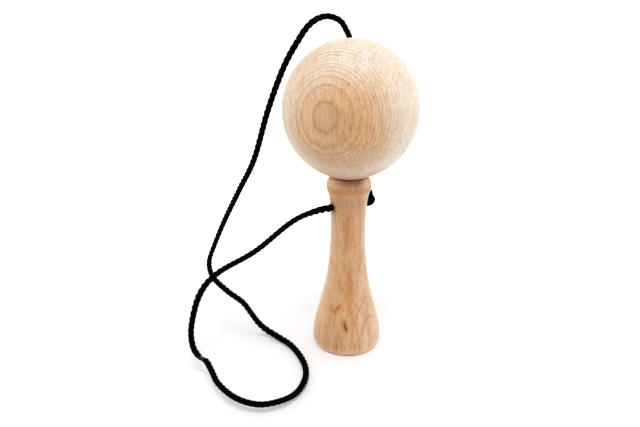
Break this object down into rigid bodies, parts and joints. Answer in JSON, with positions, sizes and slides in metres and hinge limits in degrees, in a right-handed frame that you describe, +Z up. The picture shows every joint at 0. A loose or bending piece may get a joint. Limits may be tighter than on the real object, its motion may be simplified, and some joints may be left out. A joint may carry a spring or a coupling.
{
  "type": "cup and ball toy",
  "caption": "Turned beech handle with a cup in its head, a drilled beech ball resting on it, and a black twisted cord that ties the ball to the handle's neck.",
  "frame": {"origin": "centre of the handle's flat foot, on the surface that the toy stands on", "axes": "+Z up along the handle's turning axis; +X to the right as the toy is seen from the front, with the cord's loop towards -X; +Y away from the viewer"},
  "size_m": [0.1042, 0.0855, 0.1538],
  "materials": {
    "handle_wood": "sanded bare beech, warm, with small flecks",
    "ball_wood": "sanded bare beech, pale, growth rings on one face",
    "cord": "black twisted synthetic cord, slight sheen"
  },
  "bodies": {
    "handle": {"handle": "handle_wood", "neck_cord": "cord", "neck_knot": "cord", "cord": "cord"},
    "cord_end": {"ball_cord": "cord", "ball_knot": "cord"},
    "ball": {"ball": "ball_wood"}
  },
  "joints": [
    {"name": "ball_lift", "type": "slide", "parent": "handle", "child": "cord_end", "axis": [0, 0, 1], "range_m": [0, 0.06], "deforming": ["cord"]},
    {"name": "ball_spin", "type": "hinge", "parent": "cord_end", "child": "ball", "pos_m": [0, 0, 0.1139], "axis": [-0.0349, 0, 0.9994], "continuous": true}
  ]
}
